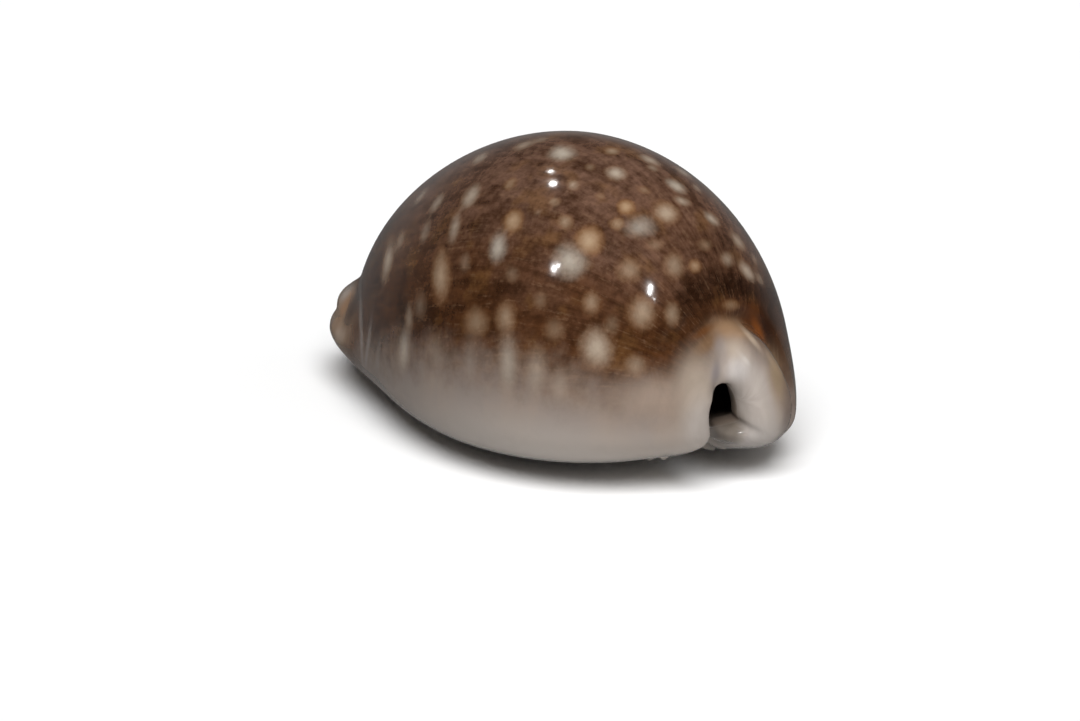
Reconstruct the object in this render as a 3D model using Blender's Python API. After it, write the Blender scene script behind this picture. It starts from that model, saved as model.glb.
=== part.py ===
# Cowrie shell: one hollow, egg-shaped shell with a toothed slit along its base.
# The hind end is at +X, the outer lip's side is +Y, and the shell rests on z = 0.
# The surface is a sphere whose rings run from the crown down the outside to the base,
# roll over the toothed lips into the slit and go back up the inside to the ceiling.
import math

import bmesh
import bpy
import numpy as np

MM = 0.001

# Driving dimensions, in millimetres.
HALF_LENGTH = 28.4        # egg alone, without the spout and the hind collar
HALF_WIDTH = 18.6
CROWN_HEIGHT = 24.9       # from the margin up to the crown
BASE_DEPTH = 7.3          # from the margin down to the base
WIDER_BEHIND = 0.28       # share by which the hind end is wider than the middle
HIGHER_BEHIND = 0.16      # share by which the hind end is higher than the middle
CROWN_LEAN = 0.8          # the crown stands this far towards the outer lip
BACK_ROUND = 1.92         # exponent of the back's arch, 2 being an ellipse
BASE_ROUND = 2.6          # the base is flatter
REST_FLAT = 0.35          # depth of the flat spot on which the base rests

WALL_TOP = 2.0            # thickness of the wall at the crown
WALL_SIDE = 2.4
WALL_END = 2.3
WALL_BASE = 4.4           # the lips are the thickest

SPOUT_LENGTH = 3.3        # fore spout, around the front end of the slit
SPOUT_CENTRE = (-3.1, 6.0)
SPOUT_RADII = (8.4, 4.5)
SPOUT_LOBE = 0.8          # its lower half stands out this much further
SPOUT_LOBE_CLIMB = 1.8
SPOUT_NOTCH = 0.4         # depth of the notch between its halves
SPOUT_NOTCH_HEIGHT = 7.9
SPOUT_NOTCH_WIDTH = 0.7
COLLAR_HEIGHT = 1.2       # thick rim around the hind end of the slit
COLLAR_CENTRE = (-1.5, 8.5)
COLLAR_RADII = (8.6, 8.5)
COLLAR_STEP = 0.9         # drop from its edge on the outer lip's side into a crease

LOBE_PUSH = (1.1, 0.2, -1.7)  # the outer lip's hind end, a lobe beside the opening
LOBE_CENTRE = (6.7, 7.5)
LOBE_RADIUS = 6.2

HALF_GAP = 1.25           # slit, from its centre line to a lip
HOLE_HALF_GAP = 3.4       # wider at the hind opening
HOLE_FROM = (1.22, 1.57)  # angles along the slit between which it widens
HOLE_SHIFT = 0.075        # the opening's turn towards the outer lip
FORE_HALF_GAP = 1.6
LIP_ROUND = 1.6           # radius of the lip's edge
HOLE_ROUND = 2.4          # the same around the hind opening
TEETH = 25                # along each lip
TOOTH_HEIGHT = 0.5
INNER_ROUND = 0.9         # radius of the lip's edge inside
HOLE_INNER_ROUND = 1.2

# The slit's line on the shell, as angles from straight down.
SLIT_BEHIND = 1.585
SLIT_BEFORE = 1.60
SLIT_BEND_BEHIND = -0.27
SLIT_BEND_BEFORE = -0.13
SLIT_SIDEWAYS = 0.05
LONG_REACH = 26.0         # millimetres for each radian along the slit's ends
WIDE_REACH = 20.0         # millimetres for each radian across the slit

RING_REACH = 14.0         # the rings leave the slit square to it over about this far
END_TURN = 0.5            # half the turn on the crown that each end's columns take

# Fineness of the surface.
END_COLUMNS = 13          # columns around each end of the slit
OUTER_ROWS = 18
ROLL_ROWS = 4
WALL_ROWS = 2
INNER_ROWS = 9


def smooth(value):
    value = np.clip(value, 0.0, 1.0)
    return value * value * (3.0 - 2.0 * value)


def signed_power(value, power):
    return np.sign(value) * np.abs(value) ** power


def direction(along, across):
    """Direction for a point of the flat map whose centre is straight down."""
    angle = np.hypot(along, across)
    share = np.sinc(angle / math.pi)
    return along * share, across * share, -np.cos(angle)


def egg(dx, dy, dz, half_length, half_width, crown, base):
    """Point on an egg that is wider and higher behind, with its margin at BASE_DEPTH."""
    reach = np.sqrt(np.maximum(0.0, 1.0 - dx * dx))
    side, rise = dy / np.maximum(reach, 1e-9), dz / np.maximum(reach, 1e-9)
    section = reach ** 1.035
    up = rise > 0.0
    square = 2.0 / np.where(up, BACK_ROUND, BASE_ROUND)
    height = np.where(up, crown * (1.0 + HIGHER_BEHIND * dx), base)
    rise = signed_power(rise, square)
    x = half_length * signed_power(dx, 1.035)
    y = half_width * (1.0 + WIDER_BEHIND * dx) * section * signed_power(side, square)
    y = y + CROWN_LEAN * section * np.maximum(rise, 0.0)
    z = BASE_DEPTH + height * section * rise
    return x, y, z


def outside(along, across):
    dx, dy, dz = direction(along, across)
    x, y, z = egg(dx, dy, dz, HALF_LENGTH, HALF_WIDTH, CROWN_HEIGHT, BASE_DEPTH)

    spout = np.hypot((y - SPOUT_CENTRE[0]) / SPOUT_RADII[0], (z - SPOUT_CENTRE[1]) / SPOUT_RADII[1])
    low_lobe = SPOUT_LOBE * smooth((SPOUT_NOTCH_HEIGHT - z) / SPOUT_LOBE_CLIMB)
    notch = SPOUT_NOTCH * np.exp(-((z - SPOUT_NOTCH_HEIGHT) / SPOUT_NOTCH_WIDTH) ** 2)
    x = x - (SPOUT_LENGTH + low_lobe - notch) * smooth((1.4 - spout) / 0.85) * (dx < 0.0)

    side, rise = (y - COLLAR_CENTRE[0]) / COLLAR_RADII[0], (z - COLLAR_CENTRE[1]) / COLLAR_RADII[1]
    out = np.hypot(side, rise)
    turn = np.degrees(np.arctan2(rise, side))
    behind = smooth(dx * 4.0 - 2.0)
    stepped = smooth((turn + 30.0) / 40.0) * smooth((95.0 - turn) / 35.0)
    soft_edge = 1.0 - smooth((out - 0.3) / 0.7)
    hard_edge = 1.0 - smooth((out - 0.9) / 0.2)
    collar = COLLAR_HEIGHT * (soft_edge + (hard_edge - soft_edge) * stepped)
    crease = COLLAR_STEP * stepped * np.exp(-((out - 1.1) / 0.12) ** 2)
    x = x + behind * (collar - crease)

    lobe = np.hypot(y - LOBE_CENTRE[0], z - LOBE_CENTRE[1]) / LOBE_RADIUS
    lobe = behind * smooth(1.4 - lobe)
    x, y, z = x + LOBE_PUSH[0] * lobe, y + LOBE_PUSH[1] * lobe, z + LOBE_PUSH[2] * lobe

    z = np.maximum(z - REST_FLAT, 0.0)
    return np.stack([x, y, z], -1)


def inside(along, across):
    dx, dy, dz = direction(along, across)
    return np.stack(
        egg(
            dx, dy, dz,
            HALF_LENGTH - WALL_END, HALF_WIDTH - WALL_SIDE,
            CROWN_HEIGHT - WALL_TOP, BASE_DEPTH - WALL_BASE,
        ), -1)


def slit_line(along):
    behind = np.clip(along / SLIT_BEHIND, 0.0, 1.0)
    before = np.clip(-along / SLIT_BEFORE, 0.0, 1.0)
    line = SLIT_SIDEWAYS + SLIT_BEND_BEHIND * behind ** 2 + SLIT_BEND_BEFORE * before ** 2
    return at_hole(along, line, line + HOLE_SHIFT)


def at_hole(along, usual, hole):
    return usual + (hole - usual) * smooth((along - HOLE_FROM[0]) / (HOLE_FROM[1] - HOLE_FROM[0]))


def half_gap(along):
    before = smooth((-along - 0.8) / 0.6)
    return at_hole(along, HALF_GAP + (FORE_HALF_GAP - HALF_GAP) * before, HOLE_HALF_GAP)


def columns():
    """Place along the slit, turn around its end, turn on the crown and tooth, for each column."""
    side_columns = 2 * TEETH
    places = np.linspace(-SLIT_BEFORE, SLIT_BEHIND, 400)
    steps = np.linalg.norm(np.diff(outside(places, slit_line(places)), axis=0), axis=1)
    run = np.concatenate([[0.0], np.cumsum(steps)])
    result = []
    for turn in (0.0, math.pi):
        last = -SLIT_BEFORE if turn == 0.0 else SLIT_BEHIND
        for i in range(side_columns):
            share = (i + 0.5) / side_columns
            to_crown = math.acos(math.cos(END_TURN) * (1.0 - 2.0 * share))
            run_share = 1.0 - share if turn == 0.0 else share
            place = float(np.interp(run_share * run[-1], run, places))
            tooth = (1.0 - i % 2) * smooth((1.0 - place) / 0.2) * smooth((place + 1.4) / 0.2)
            result.append((place, turn + 0.5 * math.pi, turn + to_crown, tooth))
        for i in range(END_COLUMNS):
            share = (i + 1.0) / (END_COLUMNS + 1.0)
            around = turn + math.pi * (0.5 + share)
            to_crown = turn + math.pi - END_TURN + 2.0 * END_TURN * share
            result.append((last, around, to_crown, 0.0))
    return np.array(result).T


def ring_rows():
    """Rings of the shell's surface, from the crown's one point to the ceiling's inside."""
    place, around, to_crown, tooth = columns()
    gap = half_gap(place)
    line = slit_line(place)
    lip_round = at_hole(place, LIP_ROUND, HOLE_ROUND)
    inner_round = at_hole(place, INNER_ROUND, HOLE_INNER_ROUND)

    def map_point(lip_distance, spread):
        reach = lip_distance + RING_REACH * spread
        along = place + reach * np.cos(around) / LONG_REACH
        across = line + reach * np.sin(around) / WIDE_REACH
        along = along + (math.pi * np.cos(to_crown) - along) * spread ** 2
        across = across + (math.pi * np.sin(to_crown) - across) * spread ** 2
        return along, across

    def between(lip_distance, depth, from_inside=False):
        spot = map_point(lip_distance, 0.0)
        outer, inner = outside(*spot), inside(*spot)
        thickness = np.linalg.norm(inner - outer, axis=-1)
        depth = depth * np.minimum(1.0, thickness / (lip_round + 1.6 * inner_round))
        if from_inside:
            depth = thickness - depth
        point = outer + (inner - outer) * (depth / thickness)[:, None]
        point[:, 2] = np.maximum(point[:, 2], 0.0)
        return point

    crown = np.array([math.pi]), np.array([0.0])
    rows = [outside(*crown)]
    for i in range(OUTER_ROWS):
        spread = 1.0 - (i + 1.0) / OUTER_ROWS
        rows.append(outside(*map_point(gap + lip_round, spread)))
    for i in range(ROLL_ROWS):
        turn = 0.5 * math.pi * (i + 1.0) / ROLL_ROWS
        ridge = tooth * TOOTH_HEIGHT
        distance = gap + lip_round * (1.0 - math.sin(turn)) - ridge * math.sin(turn)
        depth = lip_round * (1.0 - math.cos(turn)) - ridge * math.cos(turn)
        rows.append(between(distance, depth))
    for i in range(WALL_ROWS):
        fade = 1.0 - (i + 1.0) / WALL_ROWS
        rows.append(between(gap - tooth * TOOTH_HEIGHT * fade, inner_round * (1.0 + 0.5 * fade), True))
    rows.append(between(gap + 0.3 * inner_round, 0.3 * inner_round, True))
    for i in range(INNER_ROWS):
        rows.append(inside(*map_point(gap + inner_round, i / INNER_ROWS)))
    rows.append(inside(*crown))
    return rows


def centred(rows):
    """The rings moved so that the middle of their box is over the origin."""
    points = np.concatenate(rows)
    middle = (points.min(axis=0) + points.max(axis=0)) / 2.0
    return [row - [middle[0], middle[1], 0.0] for row in rows]


def shell_mesh():
    rows = centred(ring_rows())
    column_count = len(rows[1])
    bm = bmesh.new()
    bmesh.ops.create_uvsphere(bm, u_segments=column_count, v_segments=len(rows) - 1, radius=1.0)
    for vert in bm.verts:
        row = round(math.acos(max(-1.0, min(1.0, vert.co.z))) / math.pi * (len(rows) - 1))
        column = round(math.atan2(vert.co.y, vert.co.x) / (2.0 * math.pi) * column_count) % len(rows[row])
        vert.co = rows[row][column] * MM
    bmesh.ops.triangulate(bm, faces=bm.faces[:])
    mesh = bpy.data.meshes.new("shell")
    bm.to_mesh(mesh)
    bm.free()
    mesh.shade_smooth()
    return mesh


def glossy_shell():
    material = bpy.data.materials.new("glossy_shell")
    material.use_nodes = True
    surface = material.node_tree.nodes["Principled BSDF"]
    surface.inputs["Base Color"].default_value = (0.16, 0.085, 0.05, 1.0)
    surface.inputs["Roughness"].default_value = 0.15
    surface.inputs["Metallic"].default_value = 0.0
    return material


def build():
    for item in list(bpy.data.objects):
        bpy.data.objects.remove(item, do_unlink=True)
    collection = bpy.data.collections.new("cowrie_shell")
    bpy.context.scene.collection.children.link(collection)
    mesh = shell_mesh()
    mesh.materials.append(glossy_shell())
    collection.objects.link(bpy.data.objects.new("shell", mesh))


build()
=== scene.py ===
# Looks of a glossy brown cowrie shell that lies on its base, hind end to the right.
import math

import bmesh
import bpy
import numpy as np
from mathutils import Matrix, Vector
from mathutils.bvhtree import BVHTree


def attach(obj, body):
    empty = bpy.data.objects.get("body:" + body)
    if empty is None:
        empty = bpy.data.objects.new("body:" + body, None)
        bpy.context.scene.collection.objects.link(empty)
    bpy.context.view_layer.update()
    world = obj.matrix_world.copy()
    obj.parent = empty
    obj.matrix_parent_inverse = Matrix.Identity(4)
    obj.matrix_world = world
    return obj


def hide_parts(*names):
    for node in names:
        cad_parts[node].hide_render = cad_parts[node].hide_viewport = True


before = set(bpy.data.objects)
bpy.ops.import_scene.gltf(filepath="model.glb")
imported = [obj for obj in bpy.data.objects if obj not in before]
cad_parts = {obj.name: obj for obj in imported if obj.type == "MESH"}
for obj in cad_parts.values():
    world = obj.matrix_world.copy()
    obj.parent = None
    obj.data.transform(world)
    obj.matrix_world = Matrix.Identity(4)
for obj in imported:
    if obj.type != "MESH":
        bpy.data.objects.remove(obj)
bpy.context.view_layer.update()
mm = 0.001


def smooth(value):
    value = np.clip(value, 0.0, 1.0)
    return value * value * (3.0 - 2.0 * value)


def signedPower(value, power):
    return np.sign(value) * np.abs(value) ** power


# Camera, from the photo's outline.
view = {
    "azimuth": 46.6,            # degrees, from straight ahead towards the hind end
    "elevation": 16.4,
    "roll": 0.3,
    "distance": 463.6,          # millimetres from the point that is looked at
    "lookAt": (1.0, 0.0, 15.0),
    "pixelFocal": 4353.0,       # focal length in pixels of the photo
    "middle": (552.3, 287.0),   # pixel where that point lies
    "frameSize": (1080, 721),
    "sensorWidth": 36.0,        # millimetres
    "nearest": 0.01,            # metres; nothing nearer is drawn
}


def viewAxes():
    turn, lift, roll = (math.radians(view[key]) for key in ("azimuth", "elevation", "roll"))
    back = Vector((math.sin(turn) * math.cos(lift), -math.cos(turn) * math.cos(lift), math.sin(lift)))
    level = Vector((math.cos(turn), math.sin(turn), 0.0))
    upright = back.cross(level)
    right = level * math.cos(roll) + upright * math.sin(roll)
    up = upright * math.cos(roll) - level * math.sin(roll)
    return right, up, back


def makeCamera():
    right, up, back = viewAxes()
    place = (Vector(view["lookAt"]) + back * view["distance"]) * mm
    width, height = view["frameSize"]
    lens = bpy.data.cameras.new("camera")
    lens.sensor_width = view["sensorWidth"]
    lens.lens = view["pixelFocal"] * lens.sensor_width / width
    lens.shift_x = (0.5 * width - view["middle"][0]) / width
    lens.shift_y = (view["middle"][1] - 0.5 * height) / width
    lens.clip_start = view["nearest"]
    camera = bpy.data.objects.new("camera", lens)
    turned = Matrix((right, up, back)).transposed().to_4x4()
    camera.matrix_world = Matrix.Translation(place) @ turned
    bpy.context.scene.collection.objects.link(camera)
    bpy.context.scene.camera = camera


def pixelRay(pixel):
    right, up, back = viewAxes()
    start = Vector(view["lookAt"]) + back * view["distance"]
    across = (pixel[0] - view["middle"][0]) / view["pixelFocal"]
    rise = (view["middle"][1] - pixel[1]) / view["pixelFocal"]
    return start, (right * across + up * rise - back).normalized()


makeCamera()
print("camera placed")


# The shell's form, in millimetres, the same as the solid's.
form = {
    "halfLength": 28.4,
    "halfWidth": 18.6,
    "crown": 24.9,              # from the margin up to the crown
    "base": 7.3,                # from the margin down to the base
    "widerBehind": 0.28,
    "higherBehind": 0.16,
    "lean": 0.8,                # crown towards the outer lip
    "backRound": 1.92,
    "baseRound": 2.6,
    "lengthRound": 1.035,
    "restFlat": 0.35,
    "wallTop": 2.0,
    "wallSide": 2.4,
    "wallEnd": 2.3,
    "wallBase": 4.4,
    "spoutLength": 3.3,
    "spoutLobe": 0.8,           # the spout's lower half stands out further
    "spoutLobeClimb": 1.8,
    "spoutNotch": 0.4,          # the notch between its two halves
    "spoutNotchHeight": 7.9,
    "spoutNotchWidth": 0.7,
    "spoutCentre": (-3.1, 6.0),
    "spoutRadii": (8.4, 4.5),
    "spoutEdge": 1.4,           # where it ends, in its radii
    "spoutFade": 0.85,
    "hindSlope": 4.0,           # how soon the hind end's own forms set in
    "hindStart": 2.0,
    "collarHeight": 1.2,
    "collarCentre": (-1.5, 8.5),
    "collarRadii": (8.6, 8.5),
    "collarSoft": (0.3, 0.7),   # start and width of its soft edge, in its radii
    "collarHard": (0.9, 0.2),
    "collarTurn": (-30.0, 95.0),    # degrees between which the edge is a hard step
    "collarTurnFade": (40.0, 35.0),
    "collarStep": 0.9,
    "collarCrease": (1.1, 0.12),
    "valleyDepth": 0.7,         # a groove that climbs from the opening
    "valleyWidth": 1.2,
    "valleyPlace": (-2.6, 12.6),
    "valleyLean": 0.48,
    "valleyHeights": (10.0, 17.0),
    "valleyFade": (1.5, 3.5),
    "lobePush": (1.1, 0.2, -1.7),
    "lobeCentre": (6.7, 7.5),
    "lobeRadius": 6.2,
    "lobeEdge": 1.4,
}

slit = {
    "behind": 1.585,            # ends, in radians from straight down
    "before": 1.60,
    "bendBehind": -0.27,
    "bendBefore": -0.13,
    "sideways": 0.05,
    "halfGap": 1.25,
    "holeHalfGap": 3.4,
    "holeFrom": (1.22, 1.57),
    "holeShift": 0.075,
    "foreHalfGap": 1.6,
    "foreFrom": 0.8,            # where the gap starts to widen towards the spout
    "foreWiden": 0.6,
    "lipRound": 1.6,
    "holeRound": 2.4,
    "innerRound": 0.9,
    "holeInnerRound": 1.2,
    "teeth": 25,
    "toothHeight": 0.5,
    "toothPhase": 0.25,
    "toothSharpness": 1.4,
    "teethEnds": (-1.4, 1.0),
    "teethFade": 0.2,
    "longReach": 26.0,
    "wideReach": 20.0,
    "ringReach": 14.0,
    "endTurn": 0.5,
    "thinWall": 1.6,            # inner rounds that a wall has to hold
    "wallStart": 1.5,           # start of the straight wall, in inner rounds
    "innerEdge": 0.3,           # last ring before the hollow, in inner rounds
    "lipMark": 9.0,             # how sharply the mark of the lips sets in
    "rolledDeep": 0.35,         # how deep a point counts as lying, from 0 to 1
    "walledDeep": 0.5,
    "edgeDeep": 0.95,
}

fineness = {
    "toothColumns": 8,
    "endColumns": 56,
    "outerRows": 128,
    "rollRows": 16,
    "wallRows": 6,
    "innerRows": 22,
    "trackSteps": 400,
}


def direction(along, across):
    angle = np.hypot(along, across)
    share = np.sinc(angle / math.pi)
    return along * share, across * share, -np.cos(angle)


def egg(dx, dy, dz, halfLength, halfWidth, crown, base):
    reach = np.sqrt(np.maximum(0.0, 1.0 - dx * dx))
    side, rise = dy / np.maximum(reach, 1e-9), dz / np.maximum(reach, 1e-9)
    section = reach ** form["lengthRound"]
    up = rise > 0.0
    square = 2.0 / np.where(up, form["backRound"], form["baseRound"])
    height = np.where(up, crown * (1.0 + form["higherBehind"] * dx), base)
    rise = signedPower(rise, square)
    x = halfLength * signedPower(dx, form["lengthRound"])
    y = halfWidth * (1.0 + form["widerBehind"] * dx) * section * signedPower(side, square)
    y = y + form["lean"] * section * np.maximum(rise, 0.0)
    return x, y, form["base"] + height * section * rise


def outside(along, across):
    dx, dy, dz = direction(along, across)
    x, y, z = egg(dx, dy, dz, form["halfLength"], form["halfWidth"], form["crown"], form["base"])

    spout = np.hypot((y - form["spoutCentre"][0]) / form["spoutRadii"][0],
                     (z - form["spoutCentre"][1]) / form["spoutRadii"][1])
    lowLobe = form["spoutLobe"] * smooth((form["spoutNotchHeight"] - z) / form["spoutLobeClimb"])
    fromNotch = (z - form["spoutNotchHeight"]) / form["spoutNotchWidth"]
    length = form["spoutLength"] + lowLobe - form["spoutNotch"] * np.exp(-fromNotch ** 2)
    x = x - length * smooth((form["spoutEdge"] - spout) / form["spoutFade"]) * (dx < 0.0)

    side = (y - form["collarCentre"][0]) / form["collarRadii"][0]
    rise = (z - form["collarCentre"][1]) / form["collarRadii"][1]
    out = np.hypot(side, rise)
    turn = np.degrees(np.arctan2(rise, side))
    behind = smooth(dx * form["hindSlope"] - form["hindStart"])
    (start, end), (startFade, endFade) = form["collarTurn"], form["collarTurnFade"]
    stepped = smooth((turn - start) / startFade) * smooth((end - turn) / endFade)
    softEdge, hardEdge = (1.0 - smooth((out - edge) / width)
                          for edge, width in (form["collarSoft"], form["collarHard"]))
    collar = form["collarHeight"] * (softEdge + (hardEdge - softEdge) * stepped)
    fromCrease = (out - form["collarCrease"][0]) / form["collarCrease"][1]
    crease = form["collarStep"] * stepped * np.exp(-fromCrease ** 2)
    x = x + behind * (collar - crease)

    beside, above = y - form["valleyPlace"][0], z - form["valleyPlace"][1]
    valley = np.exp(-((beside - form["valleyLean"] * above) / form["valleyWidth"]) ** 2)
    (low, high), (lowFade, highFade) = form["valleyHeights"], form["valleyFade"]
    valley = valley * smooth((z - low) / lowFade) * smooth((high - z) / highFade)
    x = x - behind * valley * form["valleyDepth"]

    lobe = np.hypot(y - form["lobeCentre"][0], z - form["lobeCentre"][1]) / form["lobeRadius"]
    lobe = behind * smooth(form["lobeEdge"] - lobe)
    x, y, z = (value + push * lobe for value, push in zip((x, y, z), form["lobePush"]))

    z = np.maximum(z - form["restFlat"], 0.0)
    return np.stack([x, y, z], -1)


def inside(along, across):
    dx, dy, dz = direction(along, across)
    return np.stack(egg(
        dx, dy, dz,
        form["halfLength"] - form["wallEnd"], form["halfWidth"] - form["wallSide"],
        form["crown"] - form["wallTop"], form["base"] - form["wallBase"]), -1)


def slitLine(along):
    behind = np.clip(along / slit["behind"], 0.0, 1.0)
    before = np.clip(-along / slit["before"], 0.0, 1.0)
    line = slit["sideways"] + slit["bendBehind"] * behind ** 2 + slit["bendBefore"] * before ** 2
    return atHole(along, line, line + slit["holeShift"])


def atHole(along, usual, hole):
    start, end = slit["holeFrom"]
    return usual + (hole - usual) * smooth((along - start) / (end - start))


def halfGap(along):
    before = smooth((-along - slit["foreFrom"]) / slit["foreWiden"])
    usual = slit["halfGap"] + (slit["foreHalfGap"] - slit["halfGap"]) * before
    return atHole(along, usual, slit["holeHalfGap"])


def slitColumns():
    sideColumns = fineness["toothColumns"] * slit["teeth"]
    places = np.linspace(-slit["before"], slit["behind"], fineness["trackSteps"])
    steps = np.linalg.norm(np.diff(outside(places, slitLine(places)), axis=0), axis=1)
    run = np.concatenate([[0.0], np.cumsum(steps)])
    share = (np.arange(sideColumns) + 0.5) / sideColumns
    capShare = (np.arange(fineness["endColumns"]) + 1.0) / (fineness["endColumns"] + 1.0)
    wave = np.cos(2.0 * math.pi * (share * slit["teeth"] - slit["toothPhase"]))
    ridge = (0.5 + 0.5 * wave) ** slit["toothSharpness"]
    teethFrom, teethTo = slit["teethEnds"]
    parts = []
    for turn in (0.0, math.pi):
        runShare = 1.0 - share if turn == 0.0 else share
        place = np.interp(runShare * run[-1], run, places)
        tooth = ridge * smooth((teethTo - place) / slit["teethFade"])
        tooth = tooth * smooth((place - teethFrom) / slit["teethFade"])
        toCrown = turn + np.arccos(math.cos(slit["endTurn"]) * (1.0 - 2.0 * share))
        parts.append(np.stack([place, np.full_like(place, turn + 0.5 * math.pi), toCrown, tooth]))
        last = -slit["before"] if turn == 0.0 else slit["behind"]
        capCrown = turn + math.pi - slit["endTurn"] + 2.0 * slit["endTurn"] * capShare
        around = turn + math.pi * (0.5 + capShare)
        parts.append(np.stack([np.full_like(capShare, last), around, capCrown, np.zeros_like(capShare)]))
    return np.concatenate(parts, axis=1)


def shellRings():
    place, around, toCrown, tooth = slitColumns()
    gap, line = halfGap(place), slitLine(place)
    lipRound = atHole(place, slit["lipRound"], slit["holeRound"])
    innerRound = atHole(place, slit["innerRound"], slit["holeInnerRound"])

    def mapPoint(lipDistance, spread):
        reach = lipDistance + slit["ringReach"] * spread
        along = place + reach * np.cos(around) / slit["longReach"]
        across = line + reach * np.sin(around) / slit["wideReach"]
        along = along + (math.pi * np.cos(toCrown) - along) * spread ** 2
        across = across + (math.pi * np.sin(toCrown) - across) * spread ** 2
        return along, across

    def between(lipDistance, depth, fromInside=False):
        spot = mapPoint(lipDistance, 0.0)
        outer, inner = outside(*spot), inside(*spot)
        thickness = np.linalg.norm(inner - outer, axis=-1)
        depth = depth * np.minimum(1.0, thickness / (lipRound + slit["thinWall"] * innerRound))
        if fromInside:
            depth = thickness - depth
        point = outer + (inner - outer) * (depth / thickness)[:, None]
        point[:, 2] = np.maximum(point[:, 2], 0.0)
        return point

    crown = np.full_like(place, math.pi), np.zeros_like(place)
    rows, deep, lip = [outside(*crown)], [0.0], [0.0]
    for i in range(fineness["outerRows"]):
        spread = 1.0 - (i + 1.0) / fineness["outerRows"]
        rows.append(outside(*mapPoint(gap + lipRound, spread)))
        deep.append(0.0)
        lip.append(1.0 - min(1.0, spread * slit["lipMark"]))
    for i in range(fineness["rollRows"]):
        turn = 0.5 * math.pi * (i + 1.0) / fineness["rollRows"]
        ridge = tooth * slit["toothHeight"]
        distance = gap + lipRound * (1.0 - math.sin(turn)) - ridge * math.sin(turn)
        depth = lipRound * (1.0 - math.cos(turn)) - ridge * math.cos(turn)
        rows.append(between(distance, depth))
        deep.append(slit["rolledDeep"] * (turn / (0.5 * math.pi)) ** 3)
        lip.append(1.0)
    for i in range(fineness["wallRows"]):
        share = (i + 1.0) / fineness["wallRows"]
        distance = gap - tooth * slit["toothHeight"] * (1.0 - share)
        height = innerRound * (slit["wallStart"] - (slit["wallStart"] - 1.0) * share)
        rows.append(between(distance, height, True))
        deep.append(slit["rolledDeep"] + slit["walledDeep"] * share)
        lip.append(1.0 - share)
    edge = slit["innerEdge"] * innerRound
    rows.append(between(gap + edge, edge, True))
    deep.append(slit["edgeDeep"])
    lip.append(0.0)
    for i in range(fineness["innerRows"] + 1):
        rows.append(inside(*mapPoint(gap + innerRound, i / fineness["innerRows"])))
        deep.append(1.0)
        lip.append(0.0)
    shape = (len(rows), len(place))
    marks = {
        "deep": np.broadcast_to(np.array(deep)[:, None], shape),
        "lip": np.broadcast_to(np.array(lip)[:, None], shape),
        "tooth": np.broadcast_to(tooth, shape),
    }
    return np.stack(rows), marks


def makeShell():
    rows, marks = shellRings()
    ringCount, columnCount = rows.shape[:2]
    bm = bmesh.new()
    bmesh.ops.create_uvsphere(bm, u_segments=columnCount, v_segments=ringCount - 1, radius=1.0)
    mesh = bpy.data.meshes.new("cowrieShell")
    bm.to_mesh(mesh)
    bm.free()
    ball = np.zeros(len(mesh.vertices) * 3)
    mesh.vertices.foreach_get("co", ball)
    ball = ball.reshape(-1, 3)
    ring = np.rint(np.arccos(np.clip(ball[:, 2], -1.0, 1.0)) / math.pi * (ringCount - 1)).astype(int)
    column = np.rint(np.arctan2(ball[:, 1], ball[:, 0]) / (2.0 * math.pi) * columnCount).astype(int)
    column = column % columnCount
    points = rows[ring, column]
    low, high = points.min(axis=0), points.max(axis=0)
    points = points - [0.5 * (low[0] + high[0]), 0.5 * (low[1] + high[1]), 0.0]
    mesh.vertices.foreach_set("co", (points * mm).ravel())
    mesh.update()
    mesh.shade_smooth()
    shell = bpy.data.objects.new("cowrieShell", mesh)
    bpy.context.scene.collection.objects.link(shell)
    return shell, points, {name: values[ring, column] for name, values in marks.items()}


shell, points, marks = makeShell()
print("shell form:", len(points), "points")

shellTree = BVHTree.FromObject(shell, bpy.context.evaluated_depsgraph_get())


def onShell(pixel):
    start, way = pixelRay(pixel)
    place, normal, _, reach = shellTree.ray_cast(start * mm, way)
    return np.array(place) / mm, normal, way, reach / mm


brushDepth = 2.5    # how far a mark reaches away from the eye, in its own sizes


def brush(pixel, size, lean=0.0):
    # Distance of every point from a mark's middle: 1 at the mark's edge.
    middle, _, _, reach = onShell(pixel)
    right, up, back = (np.array(axis) for axis in viewAxes())
    offset = (points - middle) * view["pixelFocal"] / reach
    across, rise, away = offset @ right, offset @ up, offset @ back
    turn = math.radians(lean)
    wide = across * math.cos(turn) + rise * math.sin(turn)
    tall = rise * math.cos(turn) - across * math.sin(turn)
    depth = away / (brushDepth * max(size))
    return np.sqrt((wide / size[0]) ** 2 + (tall / size[1]) ** 2 + depth ** 2)


# Where the brown of the back gives way to the grey of the sides.
margin = {
    "line": [(352, 345), (365, 333), (400, 335), (440, 338), (470, 343), (500, 348), (530, 354), (560, 361),
             (590, 368), (620, 374), (650, 376), (672, 374), (690, 362), (702, 346), (712, 334), (722, 326)],
    # degrees around from the hind end, and height in millimetres
    "farEnd": [(8.0, 15.0), (16.0, 11.0), (25.0, 9.5), (40.0, 10.5), (60.0, 12.5),
               (80.0, 13.5), (100.0, 13.5), (140.0, 12.0), (165.0, 9.5), (180.0, 9.0)],
    "squeeze": 1.6,
}


def marginRise():
    angles, heights = [], []
    for pixel in margin["line"]:
        place = onShell(pixel)[0]
        angles.append(math.degrees(math.atan2(place[1] * margin["squeeze"], place[0])))
        heights.append(place[2])
    for angle, height in margin["farEnd"]:
        angles.append(angle)
        heights.append(height)
    order = np.argsort(angles)
    turn = np.degrees(np.arctan2(points[:, 1] * margin["squeeze"], points[:, 0]))
    return points[:, 2] - np.interp(
        turn, np.array(angles)[order], np.array(heights)[order], period=360.0)


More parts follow.
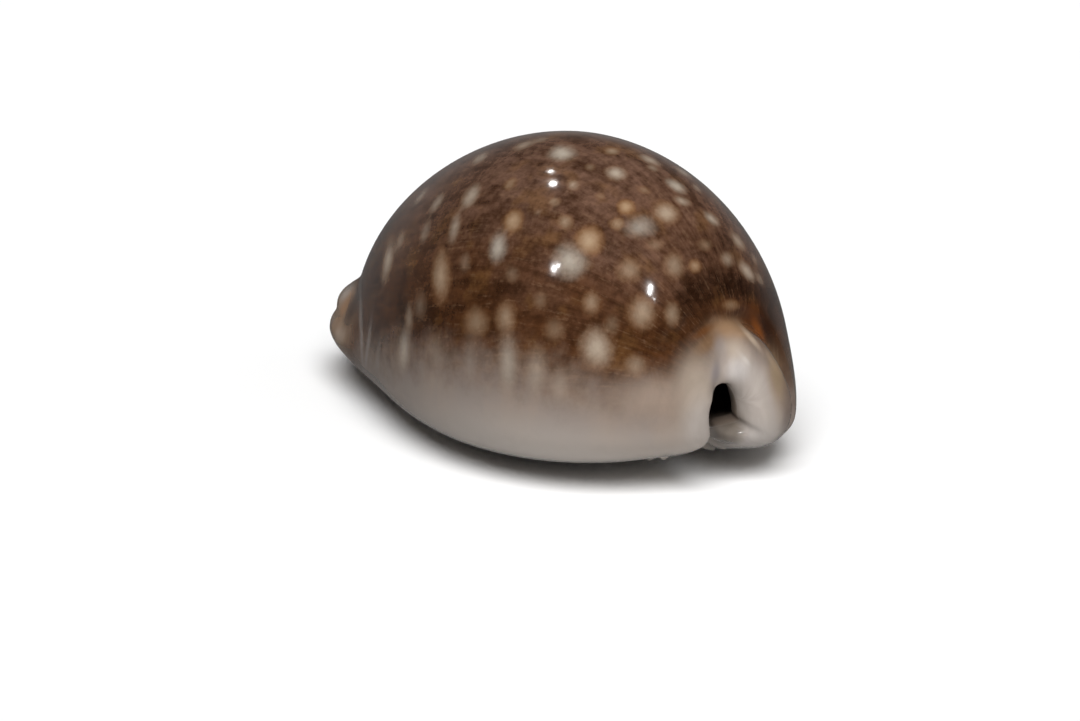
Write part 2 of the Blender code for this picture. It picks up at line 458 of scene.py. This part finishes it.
# Pale spots of the back: pixel, half width and height in pixels, strength, warmth, lean.
spots = {
    "seen": [
        ((562, 153), (11, 7.5), 1.0, 0.2, 0), ((616, 173), (8, 5.5), 0.9, 0.3, -10),
        ((573, 185), (5, 4.5), 0.6, 0.45, 0), ((554, 202), (5, 4), 0.45, 0.6, 0),
        ((565, 222), (6, 6), 0.55, 0.6, 0), ((513, 221), (7, 9), 0.75, 0.75, -20),
        ((471, 196), (6, 11), 0.75, 0.3, -30), ((437, 203), (4, 9), 0.55, 0.3, -35),
        ((524, 145), (9, 3.5), 0.6, 0.4, 20), ((540, 140), (8, 2.5), 0.4, 0.5, 8),
        ((480, 158), (8, 4), 0.6, 0.3, 32), ((510, 184), (6, 4), 0.5, 0.7, 35),
        ((421, 196), (3, 9), 0.45, 0.3, -38), ((455, 228), (4.5, 13), 0.55, 0.3, -10),
        ((425, 232), (4, 10), 0.35, 0.3, -15), ((498, 247), (7.5, 13), 0.75, 0.1, -8),
        ((441, 276), (7, 20), 0.65, 0.6, 0), ((388, 260), (4.5, 17), 0.75, 0.4, -8),
        ((400, 241), (4, 9), 0.4, 0.5, -15), ((589, 241), (10, 11), 0.9, 0.75, -20),
        ((570, 261), (14, 14), 0.8, 0.15, -20), ((626, 207), (6.5, 5.5), 0.85, 0.8, 0),
        ((617, 224), (6, 5), 0.55, 0.7, 0), ((640, 227), (13, 9), 0.50, 0.05, 8),
        ((666, 213), (10, 8), 0.8, 0.5, -20), ((676, 186), (9, 4.5), 0.85, 0.2, -32),
        ((682, 201), (7, 3.5), 0.6, 0.35, -20), ((650, 160), (9, 3.5), 0.7, 0.3, -25),
        ((653, 168), (5, 3), 0.4, 0.4, -25), ((612, 151), (6, 3.5), 0.55, 0.6, 0),
        ((590, 167), (4, 3), 0.3, 0.6, 0), ((629, 270), (9, 9), 0.45, 0.6, -20),
        ((674, 265), (8, 10), 0.42, 0.55, 0), ((695, 266), (5, 5), 0.55, 0.75, 0),
        ((712, 219), (8, 4), 0.75, 0.25, -40), ((727, 259), (6, 6), 0.45, 0.4, -40),
        ((738, 241), (9, 4), 0.6, 0.4, -55), ((747, 271), (10, 4.5), 0.75, 0.3, -50),
        ((760, 279), (6, 3), 0.4, 0.4, -60), ((755, 259), (5, 3), 0.4, 0.4, -60),
        ((642, 312), (10, 13), 0.6, 0.55, 0), ((672, 314), (6, 9), 0.4, 0.55, 0),
        ((597, 348), (13, 16), 0.85, 0.35, 0), ((591, 303), (7, 9), 0.45, 0.6, 0),
        ((476, 322), (10, 12), 0.4, 0.65, 0), ((506, 318), (8, 13), 0.5, 0.6, 0),
        ((636, 366), (9, 9), 0.4, 0.5, 0), ((731, 305), (7, 4.5), 0.35, 0.75, 0),
        ((683, 172), (7, 3), 0.6, 0.3, -35), ((697, 188), (5, 3), 0.4, 0.3, -40),
        ((538, 212), (4, 3), 0.25, 0.6, 0), ((465, 262), (5, 8), 0.25, 0.4, 0),
        ((540, 300), (7, 8), 0.22, 0.6, 0), ((420, 305), (6, 12), 0.2, 0.4, 0),
        ((512, 274), (6, 7), 0.22, 0.5, 0), ((655, 245), (7, 5), 0.25, 0.6, 0),
        ((705, 245), (6, 5), 0.25, 0.6, 0), ((601, 196), (4, 3), 0.25, 0.7, 0),
        ((644, 190), (5, 3), 0.3, 0.7, -20), ((409, 318), (4, 12), 0.35, 0.35, 0),
        ((555, 330), (9, 9), 0.25, 0.6, 0), ((612, 325), (6, 8), 0.2, 0.6, 0),
    ],
    "reach": 2.0,               # where a spot's weight ends, in its radii
    "sharpness": 4,
    "unseenCount": 74,
    "unseenTries": 6000,
    "unseenFacing": -0.02,      # turned from the camera by more than this
    "unseenRise": 1.0,          # millimetres over the margin line
    "unseenRadius": (0.6, 1.3),
    "unseenSmallness": 1.6,     # more small spots than large ones
    "unseenGap": 3.6,
    "unseenGapShares": (0.55, 0.5),
    "unseenStrength": (0.4, 1.0),
    "unseenWarmth": (0.1, 0.8),
    "seed": 12,
}

# Pale rays that cross from the brown into the grey.
rays = [
    ((508, 362), (8, 24), 0.5, 0.15, 0), ((404, 350), (5.5, 18), 0.6, 0.2, -4),
    ((536, 372), (9, 20), 0.35, 0.2, -6), ((560, 385), (8, 14), 0.2, 0.2, -6),
    ((470, 360), (7, 18), 0.15, 0.2, 0), ((436, 352), (6, 16), 0.15, 0.2, 0),
]


def unseenSpots(rise):
    draw = np.random.default_rng(spots["seed"])
    normals = np.zeros(len(points) * 3)
    shell.data.vertices.foreach_get("normal", normals)
    back = np.array(viewAxes()[2])
    hidden = normals.reshape(-1, 3) @ back < spots["unseenFacing"]
    hidden = hidden & (rise > spots["unseenRise"]) & (marks["deep"] == 0.0)
    choices = points[hidden]
    smallest, largest = spots["unseenRadius"]
    gapShare, gapGrowth = spots["unseenGapShares"]
    chosen = []
    for _ in range(spots["unseenTries"]):
        place = choices[draw.integers(len(choices))]
        size = draw.uniform(0.0, 1.0) ** spots["unseenSmallness"]
        radius = smallest + size * (largest - smallest)
        gap = spots["unseenGap"] * (gapShare + gapGrowth * radius)
        if all(np.linalg.norm(place - other[0]) > gap for other in chosen):
            strength = draw.uniform(*spots["unseenStrength"])
            chosen.append((place, radius, strength, draw.uniform(*spots["unseenWarmth"])))
        if len(chosen) == spots["unseenCount"]:
            break
    return chosen


def paintSpots(rise):
    cone, strength, warmth, total = (np.zeros(len(points)) for _ in range(4))
    found = [(brush(pixel, size, lean), power, warm)
             for pixel, size, power, warm, lean in spots["seen"] + rays]
    for place, radius, power, warm in unseenSpots(rise):
        found.append((np.linalg.norm(points - place, axis=1) / radius, power, warm))
    for distance, power, warm in found:
        height = np.clip(1.0 - distance / spots["reach"], 0.0, 1.0)
        weight = height ** spots["sharpness"] * power
        cone = np.maximum(cone, height)
        strength += weight * power
        warmth += weight * warm
        total += weight
    return cone, strength / np.maximum(total, 1e-6), warmth / np.maximum(total, 1e-6)


# Darker parts of the back: pixel, half width and height in pixels, lean, strength.
# Partly the back's own darker patches, partly painted shade: on the left side, turned from the key light,
# and in the crevice beside the collar.
shades = [
    ((402, 318), (7, 46), 4, 0.75), ((425, 315), (26, 26), 0, 0.40), ((378, 290), (14, 50), 0, 0.35),
    ((470, 290), (46, 20), 0, 0.20), ((520, 300), (36, 18), 0, 0.25), ((508, 276), (14, 18), 0, 0.30),
    ((733, 287), (38, 15), -10, 0.97), ((698, 294), (26, 14), 10, 0.80), ((690, 322), (26, 24), 20, 0.55),
    ((768, 302), (12, 28), 12, 0.80), ((640, 340), (30, 16), 0, 0.20), ((712, 258), (42, 28), 30, 0.35),
    ((462, 322), (56, 16), 0, 0.30), ((600, 330), (60, 24), 0, 0.25), ((476, 236), (24, 18), 0, 0.25),
    ((610, 240), (26, 20), 0, 0.20), ((520, 215), (20, 16), 0, 0.20), ((440, 225), (18, 22), 0, 0.20),
]


dab = {"rate": 0.9, "power": 3}


def laidOn(pixel, size, lean):
    # Share of a soft mark's colour at every point.
    return np.exp(-dab["rate"] * brush(pixel, size, lean) ** dab["power"])


def paintShades():
    left = np.ones(len(points))
    for pixel, size, lean, strength in shades:
        left *= 1.0 - strength * laidOn(pixel, size, lean)
    return 1.0 - left


# Local tones: pixel, half width and height in pixels, lean, colour, strength.
tones = [
    # collar over the hole
    ((730, 330), (20, 11), -8, (0.30, 0.18, 0.10), 0.95),
    ((706, 345), (17, 7), 42, (0.21, 0.11, 0.045), 0.5),
    ((703, 332), (13, 4), 32, (0.14, 0.05, 0.012), 0.6),
    # the next two: painted shade in the crevice between the collar and the back
    ((752, 316), (9, 13), -30, (0.075, 0.022, 0.004), 0.9),
    ((758, 330), (4, 13), 25, (0.20, 0.055, 0.006), 0.9),
    # pale crest above the hole, painted white as a highlight streak, and that of the collar, pale with a
    # painted highlight along it
    ((743, 358), (2.6, 9), 42, (0.78, 0.76, 0.74), 0.8),
    ((752, 339), (2.5, 16), 40, (0.46, 0.36, 0.26), 0.7),
    ((773, 363), (2.5, 18), 30, (0.36, 0.27, 0.19), 0.6),
    # the dark outer edge of the collar: painted shade in the crevice there
    ((769, 332), (5, 23), 22, (0.024, 0.006, 0.001), 0.97),
    ((778, 345), (6, 16), 24, (0.050, 0.022, 0.010), 0.8),
    ((787, 366), (5, 18), 14, (0.090, 0.055, 0.035), 0.7),
    # pale lobes beside the hole, and painted shade on the slot's wall below it
    ((694, 392), (20, 36), 0, (0.35, 0.285, 0.225), 0.9),
    ((700, 424), (18, 30), 0, (0.37, 0.33, 0.30), 0.8),
    ((733, 354), (17, 16), -40, (0.42, 0.34, 0.27), 0.95),
    ((750, 395), (24, 40), 0, (0.45, 0.395, 0.355), 0.95),
    # the next mark: the pale rim, made whiter as a painted soft highlight on the callus
    ((737, 370), (12, 12), -40, (0.50, 0.46, 0.44), 0.8),
    ((755, 440), (26, 18), 0, (0.40, 0.365, 0.34), 0.8),
    # the next three: painted shade on the wall of the slot below the hole
    ((724, 418), (13, 14), 0, (0.13, 0.105, 0.083), 0.95),
    ((733, 428), (12, 13), -15, (0.14, 0.115, 0.092), 0.9),
    ((725, 438), (15, 10), 0, (0.16, 0.135, 0.112), 0.9),
    ((777, 376), (8, 24), 8, (0.28, 0.20, 0.125), 0.85),
    ((790, 408), (8, 28), 0, (0.16, 0.12, 0.10), 0.6),
    ((722, 352), (6, 16), 12, (0.32, 0.27, 0.25), 0.6),
    ((716, 372), (5, 12), -10, (0.25, 0.22, 0.23), 0.6),
    # the paler side before the hole
    ((655, 398), (36, 20), 0, (0.34, 0.262, 0.208), 0.7),
    # spout at the fore end
    ((341, 312), (15, 40), 0, (0.26, 0.165, 0.10), 0.95),
    ((346, 292), (9, 10), 0, (0.40, 0.33, 0.27), 0.8),
    ((347, 303), (4, 18), -28, (0.30, 0.14, 0.05), 0.6),
    # painted shade in the hollow between the spout and the body
    ((352, 308), (5.5, 19), -20, (0.040, 0.018, 0.009), 0.95),
    ((339, 336), (9, 9), 0, (0.32, 0.25, 0.19), 0.7),
    # pale folds where the spout leaves the body
    ((361, 326), (1.8, 36), 3, (0.30, 0.27, 0.25), 0.55),
    ((368, 345), (1.8, 26), -8, (0.27, 0.24, 0.22), 0.50),
    ((378, 356), (2.5, 16), -6, (0.22, 0.19, 0.17), 0.35),
]


def paintTones():
    laid = np.zeros((len(points), 3))
    cover = np.zeros(len(points))
    for pixel, size, lean, tint, strength in tones:
        weight = strength * laidOn(pixel, size, lean)
        laid += (np.array(tint) - laid) * weight[:, None]
        cover += (1.0 - cover) * weight
    return laid / np.maximum(cover, 1e-4)[:, None], cover


# Fine lines that run along the back and climb a little towards the hind end.
lines = {
    "axis": 9.0,                # height that they wrap around, in millimetres
    "radius": 16.0,
    "climb": 0.22,
}


def addMark(name, values, kind="FLOAT", field="value"):
    layer = shell.data.attributes.new(name, kind, "POINT")
    layer.data.foreach_set(field, np.asarray(values, dtype=np.float32).ravel())


def paintShell():
    rise = marginRise()
    addMark("rise", rise)
    for name, values in zip(("spot", "spotStrength", "spotWarmth"), paintSpots(rise)):
        addMark(name, values)
    colour, cover = paintTones()
    addMark("tone", np.column_stack([colour, np.ones(len(points))]), "FLOAT_COLOR", "color")
    addMark("toneCover", cover)
    addMark("shade", paintShades())
    fromTop = np.arctan2(points[:, 1], points[:, 2] - lines["axis"])
    fromTop = fromTop + lines["climb"] * points[:, 0] / lines["radius"] * np.sin(fromTop)
    around = [np.sin(fromTop) * lines["radius"], np.cos(fromTop) * lines["radius"]]
    addMark("wrap", np.column_stack([points[:, 0], *around]), "FLOAT_VECTOR", "vector")
    for name in ("deep", "lip", "tooth"):
        addMark(name, marks[name])


paintShell()
print("marks painted")


class Wire:
    def __init__(self, tree, socket=None):
        self.tree = tree
        self.socket = socket

    def node(self, kind, settings=None, values=None, output=0):
        made = self.tree.nodes.new(kind)
        for name, value in (settings or {}).items():
            setattr(made, name, value)
        for name, value in (values or {}).items():
            if isinstance(value, Wire):
                self.tree.links.new(value.socket, made.inputs[name])
            else:
                made.inputs[name].default_value = value
        return Wire(self.tree, made.outputs[output])

    def math(self, operation, *values):
        return self.node("ShaderNodeMath", {"operation": operation}, dict(enumerate(values)))

    def __add__(self, other):
        return self.math("ADD", self, other)

    def __radd__(self, other):
        return self.math("ADD", other, self)

    def __sub__(self, other):
        return self.math("SUBTRACT", self, other)

    def __rsub__(self, other):
        return self.math("SUBTRACT", other, self)

    def __mul__(self, other):
        return self.math("MULTIPLY", self, other)

    def __rmul__(self, other):
        return self.math("MULTIPLY", other, self)

    def rise(self, low, high):
        return self.node("ShaderNodeMapRange", {"interpolation_type": "SMOOTHSTEP"},
                         {0: self, 1: low, 2: high, 3: 0.0, 4: 1.0})

    def mix(self, first, second):
        return self.node("ShaderNodeMix", {"data_type": "RGBA"}, {0: self, 6: first, 7: second}, 2)

    def mixed(self, other, share):
        return self.node("ShaderNodeMix", {"data_type": "RGBA"}, {0: share, 6: self, 7: other}, 2)

    def scaled(self, factors):
        return self.node("ShaderNodeVectorMath", {"operation": "MULTIPLY"}, {0: self, 1: factors})

    def swing(self):
        return self - 0.5

    def axis(self, name):
        return self.node("ShaderNodeSeparateXYZ", None, {0: self}, name)

    def dot(self, other):
        return self.node("ShaderNodeVectorMath", {"operation": "DOT_PRODUCT"}, {0: self, 1: other}, "Value")

    def noise(self, scale, detail, roughness):
        return self.node("ShaderNodeTexNoise", {"noise_dimensions": "3D"},
                         {"Vector": self, "Scale": scale, "Detail": detail, "Roughness": roughness})

    def mark(self, name, output="Fac"):
        return self.node("ShaderNodeAttribute", {"attribute_name": name}, None, output)


def rgb(red, green, blue):
    return (red, green, blue, 1.0)


skin = {
    "brown": rgb(0.156, 0.084, 0.056),
    "redBrown": rgb(0.080, 0.030, 0.010),
    "darkBrown": rgb(0.034, 0.012, 0.004),
    "deepBrown": rgb(0.010, 0.003, 0.001),
    "goldBrown": rgb(0.150, 0.070, 0.022),
    "grain": rgb(0.022, 0.008, 0.003),
    "paleGrain": rgb(0.22, 0.13, 0.075),
    "grey": rgb(0.235, 0.188, 0.160),
    "greyWarm": rgb(0.270, 0.205, 0.160),
    "greyLow": rgb(0.390, 0.350, 0.315),
    # grey of the fore end: partly its own darker grey, partly painted shade
    "foreShade": rgb(0.145, 0.125, 0.112),
    "spotWhite": rgb(0.50, 0.465, 0.40),
    "spotCream": rgb(0.42, 0.27, 0.14),
    "halo": rgb(0.19, 0.075, 0.020),
    # the hollow inside: a dark brown that is painted shade, darker than the inside's own colour
    "inner": rgb(0.15, 0.115, 0.09),
    "slit": rgb(0.34, 0.29, 0.25),
    "tooth": rgb(0.60, 0.54, 0.47),
    "roughness": 0.10,
    "ior": 1.45,
    "coat": 0.15,
    "coatRoughness": 0.03,
    "roughnessDrift": 0.06,
    "roughnessDeep": 0.4,
    "relief": 0.04,
    "reliefDepth": 0.0002,
}

# Noise over the shell: scale per millimetre, detail, roughness.
noises = {
    "clouds": (0.16, 3.0, 0.5),
    "drift": (0.28, 2.0, 0.55),
    "patches": (0.45, 4.0, 0.6),
    "mottle": (1.0, 4.0, 0.62),
    "grain": (1.9, 2.0, 0.6),
    "lengthLines": (1.1, 4.0, 0.6),
    "hairLines": (2.4, 2.0, 0.65),
    "crossLines": (0.9, 3.0, 0.55),
}

# Stretch that makes lines of the last three.
stretches = {
    "lengthLines": (0.14, 1.0, 1.0),
    "hairLines": (0.13, 1.0, 1.0),
    "crossLines": (1.0, 0.10, 0.10),
}

# How one colour gives way to the next: ranges in pairs, and strengths.
blends = {
    "crown": (15.0, 32.0),      # millimetres up
    "crownClouds": 16.0,
    "gold": (0.52, 0.68),
    "goldShare": 0.45,
    "darkPatches": 0.20,
    "darkMottle": 0.28,
    "darkLength": 0.34,
    "darkCross": 0.08,
    "darkDrift": 0.10,
    "dark": (0.40, 0.62),
    "darkShare": 0.88,
    "smudge": 0.75,
    "smudgeDark": 0.3,
    "smudgeMottle": 0.6,
    "speck": (0.44, 0.70),
    "speckShare": 0.28,
    "hairGrain": 0.4,
    "hairLines": 0.6,
    "hair": (0.52, 0.72),
    "hairShare": 0.28,
    "greyClouds": 0.7,
    "greyCross": 0.3,
    "grey": (0.35, 0.65),
    "greyLow": (3.0, 11.0),     # millimetres below the margin line
    "fore": (-24.0, 26.0),      # millimetres along the shell
    "foreShare": 0.65,
    "borderPatches": 5.0,
    "borderCross": 0.5,
    "border": (-6.0, 2.2),      # millimetres above the margin line
    "spotPatches": 0.35,
    "spotGrain": 0.22,
    "halo": (0.02, 0.55),
    "spot": (0.12, 1.18),
    "lipShare": 0.6,
    "toothShare": 0.8,
    "toneLines": (0.62, 0.38),
    "toneShare": 0.25,
    "toneDark": (0.6, 0.6, 0.6),
    "tonePatches": 0.15,
    "inner": (0.3, 0.9),
}


def shellFinish():
    material = bpy.data.materials.new("glossyShell")
    material.use_nodes = True
    tree = material.node_tree
    surface = tree.nodes["Principled BSDF"]
    wire = Wire(tree)
    place = wire.node("ShaderNodeTexCoord", output="Object").scaled((1.0 / mm, 1.0 / mm, 1.0 / mm))
    wrap = wire.mark("wrap", "Vector")
    rise, deep, lip, tooth = (wire.mark(name) for name in ("rise", "deep", "lip", "tooth"))
    clouds, drift, patches, mottle, grain = (
        place.noise(*noises[name]) for name in ("clouds", "drift", "patches", "mottle", "grain"))
    lengthLines, hairLines, crossLines = (
        wrap.scaled(stretch).noise(*noises[name]) for name, stretch in stretches.items())

    # the brown of the back
    high = (place.axis("Z") + clouds.swing() * blends["crownClouds"]).rise(*blends["crown"])
    brown = high.mix(skin["redBrown"], skin["brown"])
    golden = brown.mixed(skin["goldBrown"], blends["goldShare"])
    brown = drift.rise(*blends["gold"]).mix(brown, golden)
    dark = patches * blends["darkPatches"] + mottle * blends["darkMottle"]
    dark = dark + lengthLines * blends["darkLength"] + crossLines * blends["darkCross"]
    dark = dark + (1.0 - drift) * blends["darkDrift"]
    dark = dark.rise(*blends["dark"]) * blends["darkShare"]
    brown = dark.mix(brown, skin["darkBrown"])
    smudge = blends["smudge"] + dark * blends["smudgeDark"] + mottle.swing() * blends["smudgeMottle"]
    # the shade mark: the back's own darker patches together with painted shade, deepening the brown
    brown = (wire.mark("shade") * smudge).mix(brown, skin["deepBrown"])
    speck = (1.0 - grain).rise(*blends["speck"])
    brown = (speck * blends["speckShare"]).mix(brown, skin["grain"])
    hair = (grain * blends["hairGrain"] + hairLines * blends["hairLines"]).rise(*blends["hair"])
    brown = (hair * blends["hairShare"]).mix(brown, skin["paleGrain"])

    # the grey of the sides, and the border between the two
    streaks = clouds * blends["greyClouds"] + crossLines * blends["greyCross"]
    grey = streaks.rise(*blends["grey"]).mix(skin["grey"], skin["greyWarm"])
    grey = (0.0 - rise).rise(*blends["greyLow"]).mix(grey, skin["greyLow"])
    # darker grey towards the fore end: partly the grey's own change, partly painted shade on the end turned
    # from the key light
    foreGrey = grey.mixed(skin["foreShade"], blends["foreShare"])
    grey = place.axis("X").rise(*blends["fore"]).mix(foreGrey, grey)
    border = rise + patches.swing() * blends["borderPatches"]
    border = border + crossLines.swing() * blends["borderCross"]
    base = border.rise(*blends["border"]).mix(grey, brown)

    # pale spots, each with a warm rim
    cone = wire.mark("spot") + patches.swing() * blends["spotPatches"]
    cone = cone + grain.swing() * blends["spotGrain"]
    strength, warmth = wire.mark("spotStrength"), wire.mark("spotWarmth")
    base = (cone.rise(*blends["halo"]) * strength * warmth).mix(base, skin["halo"])
    spotColour = warmth.mix(skin["spotWhite"], skin["spotCream"])
    base = (cone.rise(*blends["spot"]) * strength).mix(base, spotColour)

    # lips, teeth, local tones (among them painted highlights and painted shade) and the hollow, painted dark
    # as shade
    base = (lip * blends["lipShare"]).mix(base, skin["slit"])
    base = (tooth * lip * blends["toothShare"]).mix(base, skin["tooth"])
    tone = wire.mark("tone", "Color")
    toneLines = crossLines.rise(*blends["toneLines"]) * blends["toneShare"]
    tone = toneLines.mix(tone, tone.scaled(blends["toneDark"]))
    cover = wire.mark("toneCover") + patches.swing() * blends["tonePatches"]
    base = cover.mix(base, tone)
    # painted shade: the deeper into the hollow, the more of the dark inner brown
    base = deep.rise(*blends["inner"]).mix(base, skin["inner"])

    roughness = skin["roughness"] + patches.swing() * skin["roughnessDrift"]
    roughness = roughness + deep * skin["roughnessDeep"]
    relief = lengthLines * 0.5 + crossLines * 0.5
    bump = wire.node("ShaderNodeBump", None, {
        "Strength": skin["relief"], "Distance": skin["reliefDepth"], "Height": relief})
    tree.links.new(base.socket, surface.inputs["Base Color"])
    tree.links.new(roughness.socket, surface.inputs["Roughness"])
    tree.links.new(bump.socket, surface.inputs["Normal"])
    surface.inputs["IOR"].default_value = skin["ior"]
    surface.inputs["Coat Weight"].default_value = skin["coat"]
    surface.inputs["Coat Roughness"].default_value = skin["coatRoughness"]
    return material


shell.data.materials.append(shellFinish())
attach(shell, "root")
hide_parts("shell")
print("shell finished")


paper = {
    "size": 6.0,                # metres
    "colour": rgb(0.96, 0.96, 0.96),
    "roughness": 0.9,
    "shine": 0.1,
}


def addFloor():
    bpy.ops.mesh.primitive_plane_add(size=paper["size"], location=(0.0, 0.0, 0.0))
    floor = bpy.context.object
    floor.name = "floor"
    material = bpy.data.materials.new("paper")
    material.use_nodes = True
    surface = material.node_tree.nodes["Principled BSDF"]
    surface.inputs["Base Color"].default_value = paper["colour"]
    surface.inputs["Roughness"].default_value = paper["roughness"]
    surface.inputs["Specular IOR Level"].default_value = paper["shine"]
    floor.data.materials.append(material)
    floor.visible_glossy = False


lights = {
    "worldNear": 0.03,          # glow all around, behind the shell and below it
    "worldFar": 0.18,
    "worldLow": 0.08,
    "lowRange": (-0.1, 0.3),
    "farRange": (0.35, 1.0),
    "levelRange": (0.45, 1.0),
    "keyStrength": 3.5,
    "keyFrom": (0.42, -0.38, 1.0),
    "keyAngle": 50.0,
    "fillStrength": 0.5,
    "fillFrom": (0.9, 0.1, 0.5),
    "fillAngle": 80.0,
    # pixel, width in millimetres, share of the radiance
    "glints": [
        ((554, 185), 30.0, 1.0), ((550, 173), 20.0, 0.5), ((553, 268), 27.0, 1.0),
        ((559, 267), 20.0, 0.6), ((652, 287), 28.0, 1.0), ((648, 292), 26.0, 1.0),
        ((655, 300), 16.0, 0.3),
    ],
    "glintDistance": 0.7,
    "glintRadiance": 130.0,
}


def addSun(name, source, strength, angle):
    lamp = bpy.data.lights.new(name, "SUN")
    lamp.energy = strength
    lamp.angle = math.radians(angle)
    sun = bpy.data.objects.new(name, lamp)
    sun.rotation_euler = Vector(source).to_track_quat("Z", "Y").to_euler()
    sun.visible_glossy = False
    bpy.context.scene.collection.objects.link(sun)


def addGlint(number, pixel, width, share):
    # A small lamp whose reflection falls on this pixel.
    place, normal, way, _ = onShell(pixel)
    bounced = way - 2.0 * way.dot(normal) * normal
    lamp = bpy.data.lights.new("glint%d" % number, "AREA")
    lamp.shape = "DISK"
    lamp.size = width * mm
    lamp.energy = share * lights["glintRadiance"] * (math.pi * 0.5 * width * mm) ** 2
    spot = bpy.data.objects.new(lamp.name, lamp)
    spot.location = Vector(place) * mm + bounced * lights["glintDistance"]
    spot.rotation_euler = bounced.to_track_quat("Z", "Y").to_euler()
    spot.visible_diffuse = False
    bpy.context.scene.collection.objects.link(spot)


def addLights():
    world = bpy.data.worlds.new("studio")
    bpy.context.scene.world = world
    world.use_nodes = True
    wire = Wire(world.node_tree)
    away = -np.array(viewAxes()[2])
    flat = away * (1.0, 1.0, 0.0) / np.linalg.norm(away[:2])
    way = wire.node("ShaderNodeTexCoord", output="Generated")
    facing, height = way.dot(tuple(flat)), way.dot((0.0, 0.0, 1.0))
    low = (0.0 - height).rise(*lights["lowRange"])
    far = facing.rise(*lights["farRange"]) * (1.0 - height).rise(*lights["levelRange"])
    glow = lights["worldNear"] + far * lights["worldFar"] * (1.0 - low) + low * lights["worldLow"]
    background = world.node_tree.nodes["Background"]
    background.inputs["Color"].default_value = rgb(1.0, 1.0, 1.0)
    world.node_tree.links.new(glow.socket, background.inputs["Strength"])
    addSun("key", lights["keyFrom"], lights["keyStrength"], lights["keyAngle"])
    addSun("fill", lights["fillFrom"], lights["fillStrength"], lights["fillAngle"])
    for number, (pixel, width, share) in enumerate(lights["glints"]):
        addGlint(number, pixel, width, share)


addFloor()
addLights()
bpy.context.scene.view_settings.view_transform = "Standard"
print("stage set")
